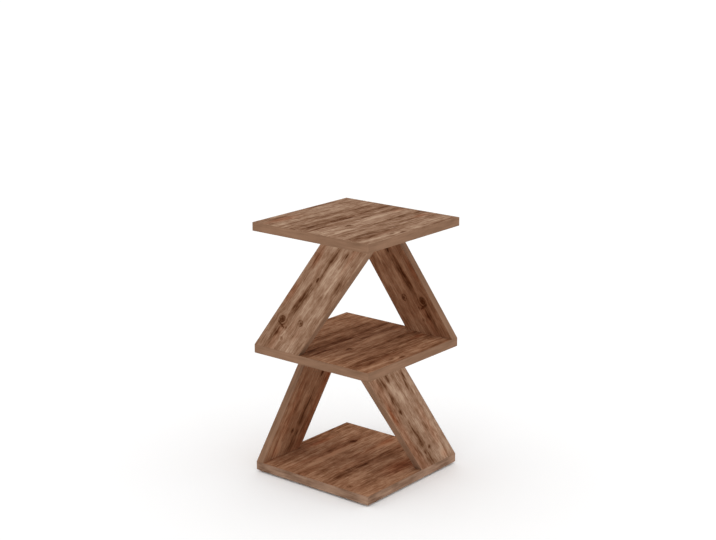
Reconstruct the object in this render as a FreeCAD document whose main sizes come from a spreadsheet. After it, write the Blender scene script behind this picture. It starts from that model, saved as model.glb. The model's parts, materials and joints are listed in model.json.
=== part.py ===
import FreeCAD, Part
import math
import os
from dataclasses import dataclass
from enum import IntEnum, auto

import Sketcher

# Tiered side table: three square shelves, held one above the other by leaning panels.
# In each tier two panels stand in opposite side planes of the shelves. A panel's foot starts at a
# corner of the shelf below, and its head ends at the next corner of the shelf above. The upper
# tier's panels stand at the front and the back, the lower tier's at the left and the right.
# The boards are chipboard with printed faces, and their open edges carry glued bands. At each panel
# end two wooden dowels place the panel on the shelf, and a bolt and a cam draw it tight.
# Lengths are in millimetres. The origin is on the floor under the middle of the table, with +X to
# the right, +Y to the back and +Z up.

# Driving dimensions, each kept in a named cell of the sheet
SIZES = {
    # Boards
    "shelf_side": 300,
    "board_thickness": 18,
    "tier_clear_height": 241,
    "panel_width": 120,
    # Edge bands
    "band_thickness": 1,
    "band_rounding": 0.6,
    # Joint at a panel end: a dowel on each side of a cam bolt
    "dowel_corner_margin": 40,
    "dowel_inner_margin": 16,
    "fit_clearance": 0.05,
    "hole_end_clearance": 0.5,
    # Dowels
    "dowel_diameter": 8,
    "dowel_length": 30,
    "dowel_shelf_depth": 12,
    "dowel_end_chamfer": 1,
    "dowel_flute_width": 0.8,
    # Cam bolts
    "bolt_thread_diameter": 6,
    "bolt_thread_length": 11,
    "bolt_thread_groove": 0.6,
    "bolt_shank_diameter": 7,
    "bolt_neck_diameter": 4.5,
    "bolt_head_diameter": 6.8,
    "bolt_head_height": 3,
    "bolt_end_chamfer": 0.8,
    # Cam locks
    "cam_reach": 34,
    "cam_diameter": 15,
    "cam_inner_margin": 0.6,
    "cam_recess": 0.3,
    "cam_lip": 2,
    "cam_eccentricity": 0.4,
    "cam_clearance": 0.15,
    "cam_drive_width": 1.6,
    "cam_drive_span": 7,
    "cam_drive_depth": 2,
    "cut_overrun": 1,
    # Cover caps
    "cap_overlap": 1.5,
    "cap_thickness": 0.5,
    "cap_rounding": 0.25,
    # Floor glides and their nails
    "glide_diameter": 22,
    "glide_height": 4,
    "glide_rounding": 1,
    "glide_inset": 30,
    "nail_diameter": 2,
    "nail_depth": 12,
    "nail_tip_length": 3,
    "nail_head_diameter": 5,
    "nail_head_thickness": 1,
    "nail_head_recess": 1,
}

# Counts, turns in degrees, and the most of a wall that a rounding may take
FLUTE_COUNT = 12
THREAD_GROOVE_COUNT = 6
FULL_TURN = 360
HALF_TURN = 180
QUARTER_TURN = 90
ROUNDING_LIMIT_SHARE = 0.9

# Lengths that follow from the driving dimensions
HALF_SIDE = "(Sizes.shelf_side / 2)"
HALF_BOARD = "(Sizes.board_thickness / 2)"
EDGE_LINE = f"({HALF_SIDE} - {HALF_BOARD})"
TIER_PITCH = "(Sizes.board_thickness + Sizes.tier_clear_height)"
PANEL_SHIFT = "(Sizes.shelf_side - Sizes.panel_width)"
PANEL_SLOPE_LENGTH = f"sqrt(Sizes.tier_clear_height ^ 2 + {PANEL_SHIFT} ^ 2)"
BAND_FOOT = f"(Sizes.band_thickness * {PANEL_SLOPE_LENGTH} / Sizes.tier_clear_height)"
BAND_ROUNDING = f"min(Sizes.band_rounding; Sizes.band_thickness * {ROUNDING_LIMIT_SHARE})"
CAP_ROUNDING = f"min(Sizes.cap_rounding; Sizes.cap_thickness * {ROUNDING_LIMIT_SHARE})"
CAM_INNER_DEPTH = "(Sizes.bolt_head_diameter / 2 + Sizes.cam_inner_margin)"
CAM_HOLLOW_RADIUS = "(Sizes.cam_diameter / 2 - Sizes.cam_lip + Sizes.cam_eccentricity)"

# Places of a joint's fasteners, measured along the panel from its shelf corner
DOWEL_PLACES = ("Sizes.dowel_corner_margin", "(Sizes.panel_width - Sizes.dowel_inner_margin)")
BOLT_PLACE = f"(({DOWEL_PLACES[0]} + {DOWEL_PLACES[1]}) / 2)"

# Bores that fit the fasteners
DOWEL_BORE = "(Sizes.dowel_diameter + 2 * Sizes.fit_clearance)"
DOWEL_SHELF_BORE_DEPTH = "(Sizes.dowel_shelf_depth + Sizes.hole_end_clearance)"
DOWEL_PANEL_BORE_DEPTH = "(Sizes.dowel_length - Sizes.dowel_shelf_depth + Sizes.hole_end_clearance)"
THREAD_BORE = "(Sizes.bolt_thread_diameter + 2 * Sizes.fit_clearance)"
THREAD_BORE_DEPTH = "(Sizes.bolt_thread_length + Sizes.hole_end_clearance)"
SHANK_BORE = "(Sizes.bolt_shank_diameter + 2 * Sizes.fit_clearance)"
CAM_BORE = "(Sizes.cam_diameter + 2 * Sizes.fit_clearance)"
CAM_BORE_DEPTH = f"({HALF_BOARD} + {CAM_INNER_DEPTH} + Sizes.fit_clearance)"
NAIL_BORE = "(Sizes.nail_diameter + 2 * Sizes.fit_clearance)"
NAIL_BORE_DEPTH = "(Sizes.nail_depth + Sizes.hole_end_clearance)"

# Number by which a sketch names its own origin
ORIGIN_ITEM = -1

UP = FreeCAD.Vector(0, 0, 1)


class SketchPoint(IntEnum):
    """Numbers by which a sketch names the points of its lines and circles."""

    START = auto()
    END = auto()
    CENTRE = auto()


@dataclass(frozen=True)
class PanelPlace:
    """Where one leaning panel stands.

    level is the shelf under its foot, counted from 0 at the bottom. corner is where its foot starts,
    on the panel's middle plane, and heading is the way that it leans, both seen from above.
    inner_side is 1 where the panel's own +Y looks into the table, and -1 where its -Y does.
    """

    label: str
    level: int
    corner: tuple
    heading: tuple
    inner_side: int

    def turn(self):
        """Give the panel's turn about the upright axis, in degrees."""
        return math.degrees(math.atan2(self.heading[1], self.heading[0]))

    def seen_from_above(self, along):
        """Give the place of a point along the panel's middle plane as two expressions."""
        return tuple(f"({start} + {step} * {along})" for start, step in zip(self.corner, self.heading))


PANELS = (
    PanelPlace("upper_front_panel", 1, (f"-{HALF_SIDE}", f"-{EDGE_LINE}"), (1, 0), 1),
    PanelPlace("upper_back_panel", 1, (HALF_SIDE, EDGE_LINE), (-1, 0), 1),
    PanelPlace("lower_left_panel", 0, (f"-{EDGE_LINE}", f"-{HALF_SIDE}"), (0, 1), -1),
    PanelPlace("lower_right_panel", 0, (EDGE_LINE, HALF_SIDE), (0, -1), -1),
)
SHELVES = ("bottom_shelf", "middle_shelf", "top_shelf")


@dataclass(frozen=True)
class PanelEnd:
    """One end of a panel: its height above the foot, and the way into the panel, 1 up or -1 down."""

    height: str
    inward: int

    def along(self, spot):
        """Measure from the foot's shelf corner a spot that is given from this end's shelf corner."""
        return spot if self.inward > 0 else f"(Sizes.shelf_side - {spot})"

    def inside(self, depth):
        """Give the height of a point that lies so deep inside the panel."""
        return f"({self.height} + {self.inward} * {depth})"


FOOT = PanelEnd("0", 1)
HEAD = PanelEnd("Sizes.tier_clear_height", -1)

doc = FreeCAD.newDocument("TieredSideTable")
sizes = doc.addObject("Spreadsheet::Sheet", "Sizes")
for row, (size_name, size) in enumerate(SIZES.items(), start=1):
    sizes.set(f"A{row}", str(size))
    sizes.setAlias(f"A{row}", size_name)
doc.recompute()


def measure(expression):
    """Work out an expression of the named sizes."""
    return float(sizes.evalExpression(expression))


def shelf_height(level):
    """Give the height of a shelf's underside above the floor."""
    return f"(Sizes.glide_height + {level} * {TIER_PITCH})"


# Steps that every piece is made with


def new_body(label):
    """Start a piece under its own label."""
    body = doc.addObject("PartDesign::Body", label)
    body.Label = label
    return body


def origin_feature(body, role):
    """Find one of a piece's own origin planes or axes."""
    return next(feature for feature in body.Origin.OriginFeatures if feature.Role == role)


def new_sketch(body, name, role, offset="0"):
    """Lay a sketch on an origin plane, moved along the plane's normal."""
    sketch = body.newObject("Sketcher::SketchObject", name)
    sketch.AttachmentSupport = [(origin_feature(body, role), "")]
    sketch.MapMode = "FlatFace"
    sketch.setExpression("AttachmentOffset.Base.z", offset)
    return sketch


def bind(sketch, constraint, name, expression):
    """Add a constraint whose value follows an expression."""
    index = sketch.addConstraint(constraint)
    sketch.renameConstraint(index, name)
    sketch.setExpression(f"Constraints.{name}", expression)


def hold_point(sketch, item, point, name, spot):
    """Hold a point of a sketch at a spot given as two expressions."""
    for axis, expression in zip("XY", spot):
        ends = (ORIGIN_ITEM, SketchPoint.START, item, point)
        constraint = Sketcher.Constraint(f"Distance{axis}", *ends, measure(expression))
        bind(sketch, constraint, f"{name}_{axis.lower()}", expression)


def add_outline(sketch, corners):
    """Draw a closed outline through corners given as pairs of expressions."""
    points = [FreeCAD.Vector(measure(x), measure(y), 0) for x, y in corners]
    for start, end in zip(points, points[1:] + points[:1]):
        sketch.addGeometry(Part.LineSegment(start, end))
    for item, corner in enumerate(corners):
        following = (item + 1) % len(corners)
        ends = (item, SketchPoint.END, following, SketchPoint.START)
        sketch.addConstraint(Sketcher.Constraint("Coincident", *ends))
        hold_point(sketch, item, SketchPoint.START, f"corner_{item}", corner)


def add_circles(sketch, centres, diameter):
    """Draw equal circles round centres given as pairs of expressions."""
    for item, (x, y) in enumerate(centres):
        centre = FreeCAD.Vector(measure(x), measure(y), 0)
        sketch.addGeometry(Part.Circle(centre, UP, measure(diameter) / 2))
        constraint = Sketcher.Constraint("Diameter", item, measure(diameter))
        bind(sketch, constraint, f"circle_{item}_diameter", diameter)
        hold_point(sketch, item, SketchPoint.CENTRE, f"circle_{item}", (x, y))


def rectangle(low_x, low_y, high_x, high_y):
    """Give the corners of an upright rectangle."""
    return [(low_x, low_y), (high_x, low_y), (high_x, high_y), (low_x, high_y)]


def pad(body, sketch, length):
    """Raise a sketch along its normal."""
    feature = body.newObject("PartDesign::Pad", "Pad")
    feature.Profile = sketch
    feature.setExpression("Length", length)
    doc.recompute()


def finish_cut(body, sketch, volume_before):
    """Work out a cut and stop if it takes nothing away."""
    doc.recompute()
    if body.Shape.Volume >= volume_before:
        raise RuntimeError(f"{body.Label}: {sketch.Label} cuts nothing")


def cut(body, sketch, depth, along_normal=False):
    """Cut a sketch into a piece, against the sketch's normal unless told otherwise."""
    volume_before = body.Shape.Volume
    feature = body.newObject("PartDesign::Pocket", "Pocket")
    feature.Profile = sketch
    feature.Reversed = along_normal
    feature.setExpression("Length", depth)
    finish_cut(body, sketch, volume_before)
    return feature


def turn_profile(body, corners):
    """Spin an outline of radii and heights about the piece's upright axis."""
    sketch = new_sketch(body, "Profile", "XZ_Plane")
    add_outline(sketch, corners)
    feature = body.newObject("PartDesign::Revolution", "Revolution")
    feature.Profile = sketch
    feature.ReferenceAxis = (sketch, ["V_Axis"])
    feature.Angle = FULL_TURN
    doc.recompute()


def dress_edges(body, kind, size_property, size_expression, wanted):
    """Round or chamfer the edges whose boxes a test picks."""
    base = body.Tip
    picked = [number for number, edge in enumerate(base.Shape.Edges, start=1) if wanted(edge.BoundBox)]
    feature = body.newObject(f"PartDesign::{kind}", kind)
    feature.Base = (base, [f"Edge{number}" for number in picked])
    feature.setExpression(size_property, size_expression)
    doc.recompute()


def place(body, x, y, z, degrees=0):
    """Turn a piece about the upright axis and set it at a place given as three expressions."""
    body.Placement = FreeCAD.Placement(FreeCAD.Vector(0, 0, 0), FreeCAD.Rotation(UP, degrees))
    for axis, expression in zip("xyz", (x, y, z)):
        body.setExpression(f"Placement.Base.{axis}", expression)


# Shelves and their edge bands


def drill_shelf(body, from_above, name, centres, diameter, depth):
    """Drill blind holes into a shelf's upper or lower face."""
    offset = "Sizes.board_thickness" if from_above else "0"
    sketch = new_sketch(body, name, "XY_Plane", offset)
    add_circles(sketch, centres, diameter)
    cut(body, sketch, depth, along_normal=not from_above)


def drill_panel_seats(body, end, panels):
    """Drill the holes for the panels that stand on a shelf or that carry it."""
    from_above = end.inward > 0
    dowels = [panel.seen_from_above(end.along(spot)) for panel in panels for spot in DOWEL_PLACES]
    bolts = [panel.seen_from_above(end.along(BOLT_PLACE)) for panel in panels]
    drill_shelf(body, from_above, "DowelHoles", dowels, DOWEL_BORE, DOWEL_SHELF_BORE_DEPTH)
    drill_shelf(body, from_above, "BoltHoles", bolts, THREAD_BORE, THREAD_BORE_DEPTH)


def glide_places():
    """Give the places of the four glides, seen from above."""
    reach = f"({HALF_SIDE} - Sizes.glide_inset)"
    return rectangle(f"-{reach}", f"-{reach}", reach, reach)


def make_shelf(label, level):
    """Make one shelf's board, inside its edge bands."""
    body = new_body(label)
    reach = f"({HALF_SIDE} - Sizes.band_thickness)"
    outline = new_sketch(body, "Outline", "XY_Plane")
    add_outline(outline, rectangle(f"-{reach}", f"-{reach}", reach, reach))
    pad(body, outline, "Sizes.board_thickness")
    standing = [panel for panel in PANELS if panel.level == level]
    carrying = [panel for panel in PANELS if panel.level == level - 1]
    if standing:
        drill_panel_seats(body, FOOT, standing)
    if carrying:
        drill_panel_seats(body, HEAD, carrying)
    else:
        drill_shelf(body, False, "NailHoles", glide_places(), NAIL_BORE, NAIL_BORE_DEPTH)
    place(body, "0", "0", shelf_height(level))
    return body


def make_shelf_band(label, level, x, y, degrees, wraps_corners):
    """Make one edge band of a shelf.

    The band's own +X runs along the edge and its +Y into the board. The front and back bands run the
    whole side and wrap the corners, and the left and right bands fit between them.
    """
    body = new_body(label)
    reach = HALF_SIDE if wraps_corners else f"({HALF_SIDE} - Sizes.band_thickness)"
    outline = new_sketch(body, "Outline", "XY_Plane")
    add_outline(outline, rectangle(f"-{reach}", "0", reach, "Sizes.band_thickness"))
    pad(body, outline, "Sizes.board_thickness")
    middle = measure("Sizes.band_thickness / 2")
    half_length = measure(reach)

    def is_open(box):
        """Pick the edges that stand free of the board and of the other bands."""
        return box.YMin < middle and (wraps_corners or box.XLength > half_length)

    dress_edges(body, "Fillet", "Radius", BAND_ROUNDING, is_open)
    place(body, x, y, shelf_height(level), degrees)
    return body


def make_shelf_bands(shelf, level):
    """Make the four edge bands of one shelf."""
    sides = (
        ("front", "0", f"-{HALF_SIDE}", True),
        ("right", HALF_SIDE, "0", False),
        ("back", "0", HALF_SIDE, True),
        ("left", f"-{HALF_SIDE}", "0", False),
    )
    return [
        make_shelf_band(f"{shelf}_{side}_band", level, x, y, QUARTER_TURN * number, wraps_corners)
        for number, (side, x, y, wraps_corners) in enumerate(sides)
    ]


# Leaning panels and their edge bands


def leaning_strip(start, end):
    """Give the corners of an upright strip that leans from the foot's line to the head's line."""
    foot = [(start, FOOT.height), (end, FOOT.height)]
    head = [(f"{end} + {PANEL_SHIFT}", HEAD.height), (f"{start} + {PANEL_SHIFT}", HEAD.height)]
    return foot + head


def new_leaning_board(label, start, end):
    """Start a leaning board about the panel's middle plane."""
    body = new_body(label)
    outline = new_sketch(body, "Outline", "XZ_Plane", f"-{HALF_BOARD}")
    add_outline(outline, leaning_strip(start, end))
    pad(body, outline, "Sizes.board_thickness")
    return body


def drill_panel_end(body, end, name, spots, diameter, depth):
    """Drill upright blind holes into a panel's foot or head."""
    sketch = new_sketch(body, name, "XY_Plane", end.height)
    add_circles(sketch, [(end.along(spot), "0") for spot in spots], diameter)
    cut(body, sketch, depth, along_normal=end.inward > 0)


def place_panel_piece(body, panel):
    """Set a panel, or a piece of it, on its shelf."""
    foot_height = f"({shelf_height(panel.level)} + Sizes.board_thickness)"
    place(body, *panel.corner, foot_height, panel.turn())


def make_panel(panel):
    """Make one leaning panel's board, with its dowel, bolt and cam bores."""
    body = new_leaning_board(panel.label, BAND_FOOT, f"(Sizes.panel_width - {BAND_FOOT})")
    for end in (FOOT, HEAD):
        drill_panel_end(body, end, "DowelHoles", DOWEL_PLACES, DOWEL_BORE, DOWEL_PANEL_BORE_DEPTH)
        drill_panel_end(body, end, "BoltHole", [BOLT_PLACE], SHANK_BORE, "Sizes.cam_reach")
    cam_places = [(end.along(BOLT_PLACE), end.inside("Sizes.cam_reach")) for end in (FOOT, HEAD)]
    cams = new_sketch(body, "CamBores", "XZ_Plane", f"{-panel.inner_side} * {HALF_BOARD}")
    add_circles(cams, cam_places, CAM_BORE)
    cut(body, cams, CAM_BORE_DEPTH, along_normal=panel.inner_side > 0)
    place_panel_piece(body, panel)
    return body


def make_panel_band(panel, side, start, end, open_edge):
    """Make the band on one leaning edge of a panel."""
    body = new_leaning_board(f"{panel.label}_{side}_band", start, end)
    open_at = measure(open_edge)
    reach = measure(BAND_FOOT) / 2

    def is_open(box):
        """Pick the two long edges on the band's open side."""
        return box.ZLength > reach and abs(box.XMin - open_at) < reach

    dress_edges(body, "Fillet", "Radius", BAND_ROUNDING, is_open)
    place_panel_piece(body, panel)
    return body


def make_panel_bands(panel):
    """Make the two edge bands of one panel."""
    inner_start = f"(Sizes.panel_width - {BAND_FOOT})"
    return [
        make_panel_band(panel, "corner", "0", BAND_FOOT, "0"),
        make_panel_band(panel, "inner", inner_start, "Sizes.panel_width", "Sizes.panel_width"),
    ]


# Fasteners, each made once about its own axis and then seated where it is used


def make_dowel():
    """Make a fluted dowel that stands on its lower end."""
    body = new_body("dowel")
    section = new_sketch(body, "Section", "XY_Plane")
    add_circles(section, [("0", "0")], "Sizes.dowel_diameter")
    pad(body, section, "Sizes.dowel_length")
    middle = measure("Sizes.dowel_length / 2")
    dress_edges(body, "Chamfer", "Size", "Sizes.dowel_end_chamfer", lambda box: box.ZLength < middle)
    flute = new_sketch(body, "Flute", "XY_Plane")
    add_circles(flute, [("Sizes.dowel_diameter / 2", "0")], "Sizes.dowel_flute_width")
    first_flute = cut(body, flute, "Sizes.dowel_length", along_normal=True)
    flutes = body.newObject("PartDesign::PolarPattern", "Flutes")
    flutes.Originals = [first_flute]
    flutes.Axis = (origin_feature(body, "Z_Axis"), [""])
    flutes.Angle = FULL_TURN
    flutes.Occurrences = FLUTE_COUNT
    body.Tip = flutes
    doc.recompute()
    return body


def make_bolt():
    """Make a cam bolt whose shank starts at the shelf's face and points up into the panel."""
    thread = "Sizes.bolt_thread_diameter / 2"
    shank = "Sizes.bolt_shank_diameter / 2"
    neck = "Sizes.bolt_neck_diameter / 2"
    head = "Sizes.bolt_head_diameter / 2"
    chamfer = "Sizes.bolt_end_chamfer"
    shank_top = "(Sizes.cam_reach - Sizes.cam_diameter / 2 - Sizes.cam_clearance)"
    grip = f"(sqrt({CAM_HOLLOW_RADIUS} ^ 2 - ({head}) ^ 2) - Sizes.cam_eccentricity)"
    head_bottom = f"(Sizes.cam_reach - {grip} + Sizes.cam_clearance)"
    head_top = f"({head_bottom} + Sizes.bolt_head_height)"
    body = new_body("cam_bolt")
    turn_profile(body, [
        ("0", "-Sizes.bolt_thread_length"),
        (f"{thread} - {chamfer}", "-Sizes.bolt_thread_length"),
        (thread, f"{chamfer} - Sizes.bolt_thread_length"),
        (thread, "0"),
        (shank, "0"),
        (shank, shank_top),
        (neck, shank_top),
        (neck, head_bottom),
        (head, head_bottom),
        (head, f"{head_top} - {chamfer}"),
        (f"{head} - {chamfer}", head_top),
        ("0", head_top),
    ])
    pitch = f"((Sizes.bolt_thread_length - {chamfer}) / {THREAD_GROOVE_COUNT + 1})"
    groove_sketch = new_sketch(body, "ThreadGroove", "XZ_Plane")
    add_outline(groove_sketch, [
        (f"{thread} - Sizes.bolt_thread_groove", f"-{pitch}"),
        (f"{thread} + Sizes.bolt_thread_groove", f"-{pitch} - Sizes.bolt_thread_groove"),
        (f"{thread} + Sizes.bolt_thread_groove", f"-{pitch} + Sizes.bolt_thread_groove"),
    ])
    volume_before = body.Shape.Volume
    groove = body.newObject("PartDesign::Groove", "Groove")
    groove.Profile = groove_sketch
    groove.ReferenceAxis = (groove_sketch, ["V_Axis"])
    groove.Angle = FULL_TURN
    finish_cut(body, groove_sketch, volume_before)
    thread_grooves = body.newObject("PartDesign::LinearPattern", "ThreadGrooves")
    thread_grooves.Originals = [groove]
    thread_grooves.Direction = (origin_feature(body, "Z_Axis"), [""])
    thread_grooves.Reversed = True
    thread_grooves.setExpression("Length", f"{pitch} * {THREAD_GROOVE_COUNT - 1}")
    thread_grooves.Occurrences = THREAD_GROOVE_COUNT
    body.Tip = thread_grooves
    doc.recompute()
    return body


def make_cam():
    """Make a cam lock about the point where its own axis meets the bolt's axis.

    Its +Z looks out of the panel, and the bolt comes in along -Y. The bolt's head turns in an
    eccentric hollow, whose lip grips it, and its neck runs in a slot through the wall.
    """
    inner_end = f"-{CAM_INNER_DEPTH}"
    outer_end = f"({HALF_BOARD} - Sizes.cam_recess)"
    wall = "(Sizes.cam_diameter / 2 + Sizes.cut_overrun)"
    head_room = "(Sizes.bolt_head_diameter / 2 + Sizes.cam_clearance)"
    neck_room = "(Sizes.bolt_neck_diameter / 2 + Sizes.cam_clearance)"
    body = new_body("cam_lock")
    drum = new_sketch(body, "Drum", "XY_Plane", inner_end)
    add_circles(drum, [("0", "0")], "Sizes.cam_diameter")
    pad(body, drum, f"{outer_end} + {CAM_INNER_DEPTH}")
    hollow = new_sketch(body, "Hollow", "XY_Plane", inner_end)
    add_circles(hollow, [("0", "-Sizes.cam_eccentricity")], f"2 * {CAM_HOLLOW_RADIUS}")
    cut(body, hollow, f"{head_room} + {CAM_INNER_DEPTH}", along_normal=True)
    neck_slot = new_sketch(body, "NeckSlot", "XY_Plane", inner_end)
    add_outline(neck_slot, rectangle(f"-{neck_room}", f"-{wall}", wall, wall))
    cut(body, neck_slot, f"{neck_room} + {CAM_INNER_DEPTH}", along_normal=True)
    head_entry = new_sketch(body, "HeadEntry", "XY_Plane", inner_end)
    add_outline(head_entry, rectangle(f"-{head_room}", f"-{wall}", head_room, "0"))
    cut(body, head_entry, f"{head_room} + {CAM_INNER_DEPTH}", along_normal=True)
    arm = "Sizes.cam_drive_width / 2"
    reach = "Sizes.cam_drive_span / 2"
    drive = new_sketch(body, "Drive", "XY_Plane", outer_end)
    quarter = [(arm, reach), (arm, arm), (reach, arm)]
    half = quarter + [(x, f"-{y}") for x, y in reversed(quarter)]
    add_outline(drive, half + [(f"-{x}", y) for x, y in reversed(half)])
    cut(body, drive, "Sizes.cam_drive_depth")
    return body


def make_cap():
    """Make a cover cap that lies on the panel's inner face, over a cam."""
    body = new_body("cam_cap")
    disc = new_sketch(body, "Disc", "XY_Plane")
    add_circles(disc, [("0", "0")], f"{CAM_BORE} + 2 * Sizes.cap_overlap")
    pad(body, disc, "Sizes.cap_thickness")
    middle = measure("Sizes.cap_thickness / 2")
    dress_edges(body, "Fillet", "Radius", CAP_ROUNDING, lambda box: box.ZMin > middle)
    return body


def make_glide():
    """Make a round glide, with a hole and a recess for its nail."""
    rim = "Sizes.glide_diameter / 2"
    hole = f"{NAIL_BORE} / 2"
    recess = "(Sizes.nail_head_diameter / 2 + Sizes.fit_clearance)"
    recess_top = "(Sizes.nail_head_recess + Sizes.nail_head_thickness)"
    body = new_body("floor_glide")
    turn_profile(body, [
        (recess, "0"),
        (rim, "0"),
        (rim, "Sizes.glide_height"),
        (hole, "Sizes.glide_height"),
        (hole, recess_top),
        (recess, recess_top),
    ])
    edge = measure(f"{rim} + {recess}") / 2
    middle = measure("Sizes.glide_height / 2")
    dress_edges(body, "Fillet", "Radius", "Sizes.glide_rounding",
                lambda box: box.XMax > edge and box.ZMax < middle)
    return body


def make_nail():
    """Make a glide's nail, head down, at its height above the floor."""
    shank = "Sizes.nail_diameter / 2"
    head = "Sizes.nail_head_diameter / 2"
    head_top = "(Sizes.nail_head_recess + Sizes.nail_head_thickness)"
    point = "(Sizes.glide_height + Sizes.nail_depth)"
    body = new_body("glide_nail")
    turn_profile(body, [
        ("0", "Sizes.nail_head_recess"),
        (head, "Sizes.nail_head_recess"),
        (head, head_top),
        (shank, head_top),
        (shank, f"{point} - Sizes.nail_tip_length"),
        ("0", point),
    ])
    return body


def seat(fastener, label, spot, angles, carrier=None):
    """Set a copy of a fastener at a spot, given in the carrier's own frame if it has one."""
    copy = doc.addObject("App::Link", label)
    copy.LinkedObject = fastener
    spot_text = "; ".join(spot)
    angles_text = "; ".join(str(angle) for angle in angles)
    placement = f"create(<<vector>>; {spot_text}); create(<<rotation>>; {angles_text})"
    frame = f"{carrier.Name}.Placement * " if carrier else ""
    copy.setExpression("Placement", f"{frame}create(<<placement>>; {placement})")
    return copy


def make_group(label, copies):
    """Gather like fasteners as separate solids of one piece."""
    group = doc.addObject("Part::Compound", label)
    group.Label = label
    group.Links = copies
    return group


def seat_panel_fasteners(boards):
    """Make the dowels, bolts, cams and caps and seat them at both ends of every panel."""
    fasteners = {
        "dowels": make_dowel(),
        "cam_bolts": make_bolt(),
        "cam_locks": make_cam(),
        "cam_caps": make_cap(),
    }
    copies = {label: [] for label in fasteners}

    def add(label, carrier, spot, angles):
        """Seat one more fastener of a kind."""
        number = len(copies[label]) + 1
        copies[label].append(seat(fasteners[label], f"{label}_{number}", spot, angles, carrier))

    for panel, board in zip(PANELS, boards):
        inner_face = f"({panel.inner_side} * {HALF_BOARD})"
        for end in (FOOT, HEAD):
            upright = (0, 0, 0 if end.inward > 0 else HALF_TURN)
            sideways = (0 if end.inward == panel.inner_side else HALF_TURN, 0, -end.inward * QUARTER_TURN)
            dowel_start = end.inside("(-Sizes.dowel_shelf_depth)")
            cam_height = end.inside("Sizes.cam_reach")
            bolt_spot = end.along(BOLT_PLACE)
            for spot in DOWEL_PLACES:
                add("dowels", board, (end.along(spot), "0", dowel_start), upright)
            add("cam_bolts", board, (bolt_spot, "0", end.height), upright)
            add("cam_locks", board, (bolt_spot, "0", cam_height), sideways)
            add("cam_caps", board, (bolt_spot, inner_face, cam_height), sideways)
    return [make_group(label, copies[label]) for label in fasteners]


def seat_glides():
    """Make the glides and their nails and seat them under the bottom shelf."""
    groups = []
    for label, fastener in (("floor_glides", make_glide()), ("glide_nails", make_nail())):
        copies = [
            seat(fastener, f"{label}_{number}", (x, y, "0"), (0, 0, 0))
            for number, (x, y) in enumerate(glide_places(), start=1)
        ]
        groups.append(make_group(label, copies))
    return groups


def make_table():
    """Make every piece of the table, in the order in which it is put together."""
    pieces = []
    for level, shelf in enumerate(SHELVES):
        pieces.append(make_shelf(shelf, level))
        pieces += make_shelf_bands(shelf, level)
    boards = [make_panel(panel) for panel in PANELS]
    pieces += boards
    for panel in PANELS:
        pieces += make_panel_bands(panel)
    pieces += seat_panel_fasteners(boards)
    pieces += seat_glides()
    doc.recompute()
    return pieces


def check_table(pieces):
    """Stop if any step failed or any piece isn't sound."""
    failed = [item.Label for item in doc.Objects if {"Invalid", "Error"} & set(item.State)]
    if failed:
        raise RuntimeError(f"failed steps: {', '.join(failed)}")
    for piece in pieces:
        if piece.Shape.isNull() or not piece.Shape.isValid() or not piece.Shape.Solids:
            raise RuntimeError(f"{piece.Label} is not a sound solid")


table = make_table()
check_table(table)
os.makedirs("parts", exist_ok=True)
for table_piece in table:
    solid_shape = table_piece.Shape
    solid_shape.exportStep(f"parts/{table_piece.Label}.step")
    print(table_piece.Label, len(solid_shape.Solids), "solids", round(solid_shape.Volume), "mm3")
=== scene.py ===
"""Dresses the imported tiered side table: printed boards, edge bands, fasteners and glides in a white studio.

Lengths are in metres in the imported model's frame, with +X to the right, +Y to the back and +Z up. The marks
of the wood print are placed in shares of their board and sized in millimetres.
"""

import itertools
import json
import logging
import math
from collections.abc import Mapping, Sequence
from dataclasses import astuple, dataclass
from enum import Enum

import bmesh
import bpy
from bpy.types import ID, Material, Mesh, Node, NodeOutputs, NodeSocket, NodeTree, Object
from mathutils import Color, Matrix, Vector

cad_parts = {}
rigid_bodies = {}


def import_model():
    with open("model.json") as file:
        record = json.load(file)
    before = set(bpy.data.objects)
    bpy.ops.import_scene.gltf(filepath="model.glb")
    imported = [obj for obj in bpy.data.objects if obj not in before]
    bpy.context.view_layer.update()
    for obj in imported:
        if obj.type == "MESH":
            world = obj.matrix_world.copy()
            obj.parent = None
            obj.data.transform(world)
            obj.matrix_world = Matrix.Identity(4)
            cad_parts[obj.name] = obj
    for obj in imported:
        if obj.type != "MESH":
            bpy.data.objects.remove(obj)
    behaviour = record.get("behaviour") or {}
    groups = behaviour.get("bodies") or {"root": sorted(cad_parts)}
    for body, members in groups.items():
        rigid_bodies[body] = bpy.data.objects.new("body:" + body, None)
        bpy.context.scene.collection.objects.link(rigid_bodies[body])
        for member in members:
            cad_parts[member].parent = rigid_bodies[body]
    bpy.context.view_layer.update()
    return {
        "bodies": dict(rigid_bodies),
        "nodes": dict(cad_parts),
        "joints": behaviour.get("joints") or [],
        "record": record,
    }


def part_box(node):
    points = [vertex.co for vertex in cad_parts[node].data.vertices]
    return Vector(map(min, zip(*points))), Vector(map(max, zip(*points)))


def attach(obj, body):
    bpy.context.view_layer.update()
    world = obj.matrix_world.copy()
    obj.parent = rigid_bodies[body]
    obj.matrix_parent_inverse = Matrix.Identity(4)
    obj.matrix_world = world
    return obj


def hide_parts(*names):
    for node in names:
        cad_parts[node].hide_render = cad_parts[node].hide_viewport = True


LOG = logging.getLogger("tiered_side_table")
BODY = "root"
MILLIMETRE = 0.001
SCREEN_WHITE = 255
FULL = 1.0
MIDDLE = 0.5

RIGHT = Vector((1.0, 0.0, 0.0))
BACK = Vector((0.0, 1.0, 0.0))
UP = Vector((0.0, 0.0, 1.0))
NO_UNSHADED_SIDE = Vector()

Screen = tuple[int, int, int]
Feed = float | Sequence[float] | NodeSocket


class Kind(Enum):
    """Socket types of node groups."""

    VALUE = "NodeSocketFloat"
    VECTOR = "NodeSocketVector"
    COLOUR = "NodeSocketColor"
    COUNT = "NodeSocketInt"
    TURN = "NodeSocketRotation"
    SHAPE = "NodeSocketGeometry"
    FINISH = "NodeSocketMaterial"


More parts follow.
